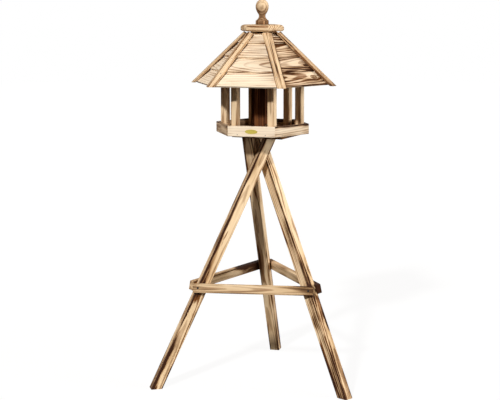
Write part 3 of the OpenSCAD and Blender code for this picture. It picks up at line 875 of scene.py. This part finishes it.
class FEEDER_OT_roof(bpy.types.Operator):
    """Make the rafters, the lapped boards of the six faces and the laths on the hips"""
    bl_idname = "feeder.roof"
    bl_label = "Roof"

    # The lowest board first
    BOARD_LOOKS = {
        "front": [
            {"scorch_and_shade": -0.08, "light": 1.2, "pith": (0.036, -0.020, 0.04), "ends": (0.0, 0.25, 0.05)},
            {"scorch_and_shade": 0.14, "light": 0.2, "pith": (-0.004, -0.022, -0.14), "ends": (0.0, 0.2, 0.08)},
            {"scorch_and_shade": -0.04, "light": 0.9, "pith": (-0.04, -0.016, 0.02)},
            {"scorch_and_shade": 0.16, "light": 0.0, "pith": (0.05, -0.020, 0.03)},
        ],
        "front_right": [
            {"scorch_and_shade": 0.30, "light": 0.4, "pith": (0.004, -0.022, 0.07),
             "knot": (0.0639, 0.0, 0.010)},
            {"scorch_and_shade": 0.55, "light": -0.2, "pith": (-0.006, -0.020, -0.07),
             "knot": (0.057, -0.0106, 0.007)},
            {"scorch_and_shade": 0.34, "light": -0.4, "pith": (0.02, -0.024, 0.07)},
            {"scorch_and_shade": 0.24, "light": -1.0, "pith": (-0.03, -0.020, 0.04)},
        ],
        "front_left": [
            {"scorch_and_shade": -0.22, "light": 1.2, "pith": (0.05, -0.03, 0.02)},
            {"scorch_and_shade": -0.14, "light": 0.6, "pith": (-0.04, -0.02, 0.05)},
            {"scorch_and_shade": -0.06, "light": 0.2, "pith": (0.05, -0.03, 0.02)},
            {"scorch_and_shade": -0.04, "light": 0.0, "pith": (-0.05, -0.03, 0.02)},
        ],
    }
    OTHER_BOARDS = [{}] * 4
    # How dark the lower edge of a board is that laps another, as scorch and painted shadow of the lap,
    # and how burnt the lower edge of one at the eaves is
    LAP_BURN_AND_SHADOW = 0.7
    EAVE_BURNT = 0.2
    # The lath on the left of the hip first, seen from outside. Their dark sides are partly scorch and
    # partly painted shadow of the gaps under them.
    LATH_LOOKS = {
        1: [{"scorch_and_shade": 0.04, "light": 0.3, "burnt_and_shaded_side": (-1, 0, -0.6), "burnt_and_shaded": 0.42},
            {"scorch_and_shade": -0.06, "light": 0.4, "burnt_and_shaded_side": (-1, -0.5, 0.4), "burnt_and_shaded": 0.35}],
        2: [{"scorch_and_shade": 0.10, "light": -0.2, "burnt_and_shaded_side": (-0.3, -1, -0.6), "burnt_and_shaded": 1.0},
            {"scorch_and_shade": 0.10, "light": -0.2}],
        6: [{"scorch_and_shade": -0.08, "light": 0.9, "burnt_and_shaded_side": (-1, 0, -0.6), "burnt_and_shaded": 0.30},
            {"scorch_and_shade": -0.10, "light": 1.0, "burnt_and_shaded_side": (0.6, 0.2, -0.6), "burnt_and_shaded": 0.6}],
    }

    def execute(self, context):
        shape = context.scene.feeder_shape
        for k in CORNERS:
            timber(f"rafter_{k}", "rafter_wood", shape.board_edge, looks=[{"straight": True}])
        for k, side in enumerate(SIDES):
            along = Vector((math.cos(k * SIXTH), math.sin(k * SIXTH), 0))
            outwards = Vector((math.sin(k * SIXTH), -math.cos(k * SIXTH), 1))
            # Down by more than out: the streak lies on the lower edge, at the underside, as scorch and
            # painted lap shadow.
            lower = outwards - 3 * UP
            looks = [dict(look, burnt_and_shaded_side=lower, burnt_and_shaded=self.LAP_BURN_AND_SHADOW)
                     for look in self.BOARD_LOOKS.get(side, self.OTHER_BOARDS)]
            looks[0]["burnt_and_shaded"] = self.EAVE_BURNT
            timber("roof_boards_" + side, "board_wood", shape.board_edge, along=along,
                   through=outwards, looks=looks)
        for k in CORNERS:
            looks = [dict(look, straight=True) for look in self.LATH_LOOKS.get(k, [{}])]
            timber(f"hip_laths_{k}", "lath_wood", shape.board_edge, looks=looks)
        return {"FINISHED"}


# Cap

class FEEDER_OT_cap(bpy.types.Operator):
    """Make the six-sided cap, the plug under it and the turned knob"""
    bl_idname = "feeder.cap"
    bl_label = "Cap"

    # Height above the knob's foot and radius, both as parts of the whole knob
    KNOB_PROFILE = (
        (0.000, 0.94), (0.012, 1.00), (0.045, 1.00), (0.085, 1.00), (0.125, 1.00), (0.155, 0.99),
        (0.167, 0.95), (0.175, 0.88), (0.184, 0.83), (0.205, 0.75), (0.235, 0.645), (0.265, 0.57),
        (0.295, 0.525), (0.330, 0.502), (0.362, 0.505), (0.392, 0.53), (0.418, 0.58), (0.448, 0.66),
        (0.485, 0.745), (0.530, 0.835), (0.580, 0.91), (0.640, 0.975), (0.700, 1.00), (0.760, 0.982),
        (0.820, 0.925), (0.870, 0.84), (0.910, 0.735), (0.945, 0.60), (0.970, 0.45), (0.988, 0.28),
        (0.997, 0.12), (1.000, 0.0),
    )

    # The cap is rounded while it is this much thicker, so that the rounding is wider than tall.
    STRETCH = 1.35
    TOP_STEPS = 7
    UNDER_STEPS = 4
    CAP_LOOK = {"scorch_and_shade": 0.14, "light": 0.0, "burnt_and_shaded_side": (0, -1, 1), "burnt_and_shaded": 1.1}
    KNOB_LOOK = {"scorch_and_shade": 0.0, "ends": (0.75, 0.0, 0.075)}

    def execute(self, context):
        shape = context.scene.feeder_shape
        self.hexagon(shape)
        timber("cap_plug", "plug_wood", shape.board_edge, along=RIGHT, through=UP)
        self.knob(shape)
        return {"FINISHED"}

    def hexagon(self, shape):
        lo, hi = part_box("roof_cap")
        tall = (hi.z - lo.z) * self.STRETCH
        bm = bmesh.new()
        bmesh.ops.create_circle(bm, cap_ends=True, radius=(hi.x - lo.x) / 2, segments=6)
        turn = min(bm.verts, key=lambda v: abs(v.co.y)).co
        bmesh.ops.rotate(bm, verts=bm.verts, cent=Vector(),
                         matrix=Matrix.Rotation(-math.atan2(turn.y, turn.x), 3, "Z"))
        thicken(bm, tall)
        wear(bm, shape.cap_round, segments=self.TOP_STEPS, longer_than=0,
             only=lambda e: min(v.co.z for v in e.verts) > tall - SAME_HEIGHT)
        wear(bm, shape.cap_under, segments=self.UNDER_STEPS, longer_than=0,
             only=lambda e: max(v.co.z for v in e.verts) < SAME_HEIGHT)
        bmesh.ops.scale(bm, verts=bm.verts, vec=(1, 1, 1 / self.STRETCH))
        bmesh.ops.translate(bm, verts=bm.verts, vec=((lo.x + hi.x) / 2, (lo.y + hi.y) / 2, lo.z))
        grain(bm, "roof_cap", along=RIGHT, through=UP, looks=[self.CAP_LOOK])
        finish_piece(bm, "roof_cap_timber", ["roof_cap"], "cap_wood")

    def knob(self, shape):
        lo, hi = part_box("knob")
        radius = (hi.x - lo.x) / 2
        tall = hi.z - lo.z
        profile = [(0, 0)] + [(z * tall, r * radius) for z, r in self.KNOB_PROFILE]
        bm = turned(profile, shape.knob_steps)
        for face in bm.faces:
            face.smooth = face.calc_center_median().z > SAME_HEIGHT
        bmesh.ops.translate(bm, verts=bm.verts, vec=((lo.x + hi.x) / 2, (lo.y + hi.y) / 2, lo.z))
        grain(bm, "knob", along=UP, through=Vector((0, -1, 0)), looks=[self.KNOB_LOOK])
        finish_piece(bm, "knob_turned", ["knob"], "knob_wood")


# Fittings

class FEEDER_OT_fittings(bpy.types.Operator):
    """Make the screws with their cross recesses, the nails and the bare plaque"""
    bl_idname = "feeder.fittings"
    bl_label = "Fittings"

    # Height and radius from the middle of the head to the shank, and the length of the point
    SCREW_HEAD = ((0.0, 0.0), (0.0, 0.0027), (-0.0006, 0.0034), (-0.0024, 0.0035), (-0.0024, 0.0019))
    SCREW_POINT = 0.004
    SCREW_STEPS = 28
    # Height of the tool that cuts the recess, half of it into the head
    RECESS_TOOL = 0.0032
    NAIL_HEAD = ((0.0, 0.0), (-0.00005, 0.0010), (-0.0003, 0.0018), (-0.0008, 0.0020),
                 (-0.0008, 0.0010))
    NAIL_POINT = 0.002
    NAIL_STEPS = 16
    PLAQUE_SIDES = 64
    PLAQUE_SINK = 0.0004
    PLAQUE_EDGE = 0.0003

    def execute(self, context):
        shape = context.scene.feeder_shape
        for node in ("brace_screws", "leg_screws", "plate_screws", "post_screws", "knob_screw"):
            bm = repeat(lambda long: self.screw(long, shape), node)
            finish_piece(bm, node + "_turned", [node], "screw_steel")
        for node in ("tray_nails", "lath_nails"):
            bm = repeat(self.nail, node)
            finish_piece(bm, node + "_drawn", [node], "nail_steel")
        self.plaque(shape)
        return {"FINISHED"}

    def pointed(self, head, point, long, steps):
        """A head's profile, spun with a shank that ends in a point."""
        shank = head[-1][1]
        return turned(head + ((point - long, shank), (-long, 0.0)), steps)

    def screw(self, long, shape):
        bm = self.pointed(self.SCREW_HEAD, self.SCREW_POINT, long, self.SCREW_STEPS)
        for size in ((shape.recess_l, shape.recess_w), (shape.recess_w, shape.recess_l)):
            tool = bmesh.new()
            bmesh.ops.create_cube(tool, size=1, matrix=Matrix.Diagonal((*size, self.RECESS_TOOL, 1)))
            bm = combine(bm, tool, "DIFFERENCE")
        return bm

    def nail(self, long):
        return self.pointed(self.NAIL_HEAD, self.NAIL_POINT, long, self.NAIL_STEPS)

    def plaque(self, shape):
        lo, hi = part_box("plaque")
        size = hi - lo
        bm = bmesh.new()
        bmesh.ops.create_circle(bm, cap_ends=True, radius=0.5, segments=self.PLAQUE_SIDES)
        bmesh.ops.scale(bm, verts=bm.verts, vec=(size.x, size.z, 1))
        thicken(bm, size.y)
        front = max(bm.faces, key=lambda f: f.calc_center_median().z)
        bmesh.ops.inset_region(bm, faces=[front], thickness=shape.plaque_rim, depth=0)
        bmesh.ops.inset_region(bm, faces=[front], thickness=self.PLAQUE_SINK, depth=-self.PLAQUE_SINK)
        wear(bm, self.PLAQUE_EDGE, longer_than=0)
        upright = Matrix.Rotation(math.pi / 2, 3, "X")
        bmesh.ops.rotate(bm, verts=bm.verts, cent=Vector(), matrix=upright)
        bmesh.ops.translate(bm, verts=bm.verts, vec=((lo.x + hi.x) / 2, hi.y, (lo.z + hi.z) / 2))
        finish_piece(bm, "plaque_pressed", ["plaque"], "plaque_yellow")


# Studio

class FEEDER_OT_studio(bpy.types.Operator):
    """Make the floor, the light and the camera"""
    bl_idname = "feeder.studio"
    bl_label = "Studio"

    # The camera's place, and where it looks: turned and tipped from straight ahead, and rolled
    CAMERA_AT = (1.0946, -4.1856, 1.2878)
    CAMERA_TURN = 15.49
    CAMERA_TIP = 9.17
    CAMERA_ROLL = -0.09
    # Width in millimetres, and what the camera sees in metres
    SENSOR = 36
    CLIP = (0.1, 100)
    FLOOR_RADIUS = 14
    FLOOR_SIDES = 96
    # How high above the horizon the soft light reaches its full strength, as a sine
    SKY_TOP = 0.9

    def execute(self, context):
        studio = context.scene.feeder_studio
        self.floor(studio)
        self.light(context.scene, studio)
        self.camera(context.scene, studio)
        context.scene.view_settings.view_transform = "Standard"
        return {"FINISHED"}

    def floor(self, studio):
        bm = bmesh.new()
        bmesh.ops.create_circle(
            bm, cap_ends=True, radius=self.FLOOR_RADIUS, segments=self.FLOOR_SIDES)
        bmesh.ops.recalc_face_normals(bm, faces=bm.faces)
        floor = new_object(bm, "studio_floor")
        if floor.data.polygons[0].normal.z < 0:
            floor.data.flip_normals()
        material = bpy.data.materials.new("studio_floor")
        material.use_nodes = True
        material.node_tree.nodes.clear()
        t = Tree(material.node_tree)
        matt = t.node("ShaderNodeBsdfDiffuse", {"Color": (studio.floor, studio.floor, studio.floor, 1)})
        glow = t.node("ShaderNodeEmission", {"Strength": t.scaled(t.seen(), studio.glow)})
        both = t.node("ShaderNodeAddShader", {0: matt.outputs[0], 1: glow.outputs[0]})
        t.node("ShaderNodeOutputMaterial", {"Surface": both.outputs[0]})
        floor.data.materials.append(material)

    def lamp(self, scene, name, strength, turn, height, size):
        """A distant lamp; turn, height and size are in degrees."""
        lamp = bpy.data.lights.new(name, "SUN")
        lamp.energy = strength
        lamp.angle = math.radians(size)
        lit = bpy.data.objects.new(name, lamp)
        turn, height = math.radians(turn), math.radians(height)
        source = Vector((math.sin(turn) * math.cos(height), -math.cos(turn) * math.cos(height),
                         math.sin(height)))
        lit.rotation_euler = source.to_track_quat("Z", "Y").to_euler()
        scene.collection.objects.link(lit)

    def light(self, scene, studio):
        self.lamp(scene, "key", studio.key, studio.key_turn, studio.key_height, studio.key_soft)
        self.lamp(scene, "side", studio.side, studio.side_turn, studio.side_height, studio.side_soft)
        world = bpy.data.worlds.new("soft_light")
        scene.world = world
        world.use_nodes = True
        world.node_tree.nodes.clear()
        t = Tree(world.node_tree)
        seen = t.seen()
        up = t.split(t.node("ShaderNodeTexCoord").outputs["Generated"])[2]
        soft = t.between(t.step(up, 0.0, self.SKY_TOP), studio.horizon, studio.sky)
        colour = t.blend(seen, paint(studio.tint), (1, 1, 1, 1))
        strength = t.between(seen, soft, 1.0)
        ground = t.node("ShaderNodeBackground", {"Color": colour, "Strength": strength})
        t.node("ShaderNodeOutputWorld", {"Surface": ground.outputs[0]})

    def camera(self, scene, studio):
        data = bpy.data.cameras.new("camera")
        data.sensor_width = self.SENSOR
        data.lens = studio.lens * 1000
        data.clip_start, data.clip_end = self.CLIP
        camera = bpy.data.objects.new("camera", data)
        turn, tip = math.radians(self.CAMERA_TURN), math.radians(self.CAMERA_TIP)
        level = Vector((-math.sin(turn), math.cos(turn), 0))
        ahead = level * math.cos(tip) - UP * math.sin(tip)
        right = ahead.cross(UP).normalized()
        up = right.cross(ahead)
        roll = math.radians(self.CAMERA_ROLL)
        tilted = right * math.cos(roll) + up * math.sin(roll)
        up = tilted.cross(ahead)
        camera.matrix_world = axes_matrix((tilted, up, -ahead), Vector(self.CAMERA_AT))
        scene.collection.objects.link(camera)
        scene.camera = camera


class FEEDER_PT_panel(bpy.types.Panel):
    """Bird feeder: its pieces, sizes and colours"""
    bl_idname = "FEEDER_PT_panel"
    bl_label = "Bird feeder"
    bl_space_type = "VIEW_3D"
    bl_region_type = "UI"
    bl_category = "Bird feeder"

    def draw(self, context):
        for kind in OPERATORS:
            self.layout.operator(kind.bl_idname)
        for group, kind in GROUPS:
            box = self.layout.box()
            for name in kind.__annotations__:
                box.prop(getattr(context.scene, group), name)


OPERATORS = (
    FEEDER_OT_finishes, FEEDER_OT_stand, FEEDER_OT_tray, FEEDER_OT_posts, FEEDER_OT_silo,
    FEEDER_OT_roof, FEEDER_OT_cap, FEEDER_OT_fittings, FEEDER_OT_studio,
)
GROUPS = (
    ("feeder_shape", FeederShape),
    ("feeder_palette", FeederPalette),
    ("feeder_studio", FeederStudio),
)


def register():
    for name, group in GROUPS:
        bpy.utils.register_class(group)
        setattr(bpy.types.Scene, name, PointerProperty(type=group))
    for kind in OPERATORS + (FEEDER_PT_panel,):
        bpy.utils.register_class(kind)


def unregister():
    for kind in reversed(OPERATORS + (FEEDER_PT_panel,)):
        bpy.utils.unregister_class(kind)
    for name, group in reversed(GROUPS):
        delattr(bpy.types.Scene, name)
        bpy.utils.unregister_class(group)


def main():
    register()
    for kind in OPERATORS:
        area, name = kind.bl_idname.split(".")
        getattr(getattr(bpy.ops, area), name)()


if __name__ == "__main__":
    main()
